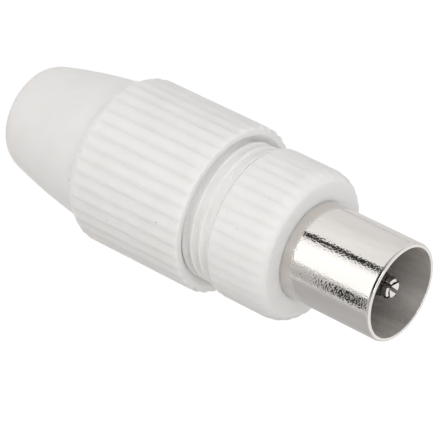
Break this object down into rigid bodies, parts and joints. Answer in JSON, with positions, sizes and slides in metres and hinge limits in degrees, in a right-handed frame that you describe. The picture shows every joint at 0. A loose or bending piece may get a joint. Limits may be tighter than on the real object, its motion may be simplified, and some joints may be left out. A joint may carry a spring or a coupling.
{
  "type": "coaxial plug",
  "caption": "Screw-on male aerial plug with a plain metal barrel, a split centre pin and a ribbed two-piece plastic housing that closes over the cable with a thread.",
  "frame": {"origin": "centre of the tail's end face, where the cable enters", "axes": "+Z along the plug's axis from the cable end to the mating end; +X along the terminal screw"},
  "size_m": [0.0164, 0.0164, 0.0437],
  "materials": {
    "housing_plastic": "white moulded plastic with a soft satin skin",
    "insulator_plastic": "natural white moulded insulator",
    "nickel_plate": "bright nickel plate on drawn or turned brass",
    "screw_steel": "plain zinc-plated steel"
  },
  "bodies": {
    "cap": {"rear_cap": "housing_plastic"},
    "clamp": {"braid_clamp": "nickel_plate"},
    "front": {"front_sleeve": "housing_plastic", "outer_contact": "nickel_plate", "insulator": "insulator_plastic", "centre_pin": "nickel_plate", "terminal_screw": "screw_steel"}
  },
  "joints": [
    {"name": "cap_turn", "type": "hinge", "parent": "cap", "child": "clamp", "pos_m": [0, 0, 0.014], "axis": [0, 0, 1], "range_deg": [-972, 1944]},
    {"name": "thread_travel", "type": "slide", "parent": "clamp", "child": "front", "axis": [0, 0, 1], "range_m": [-0.0027, 0.0054]}
  ],
  "couplings": [
    {"joint": "thread_travel", "follows": "cap_turn", "m_per_rad": 0.00015915}
  ]
}
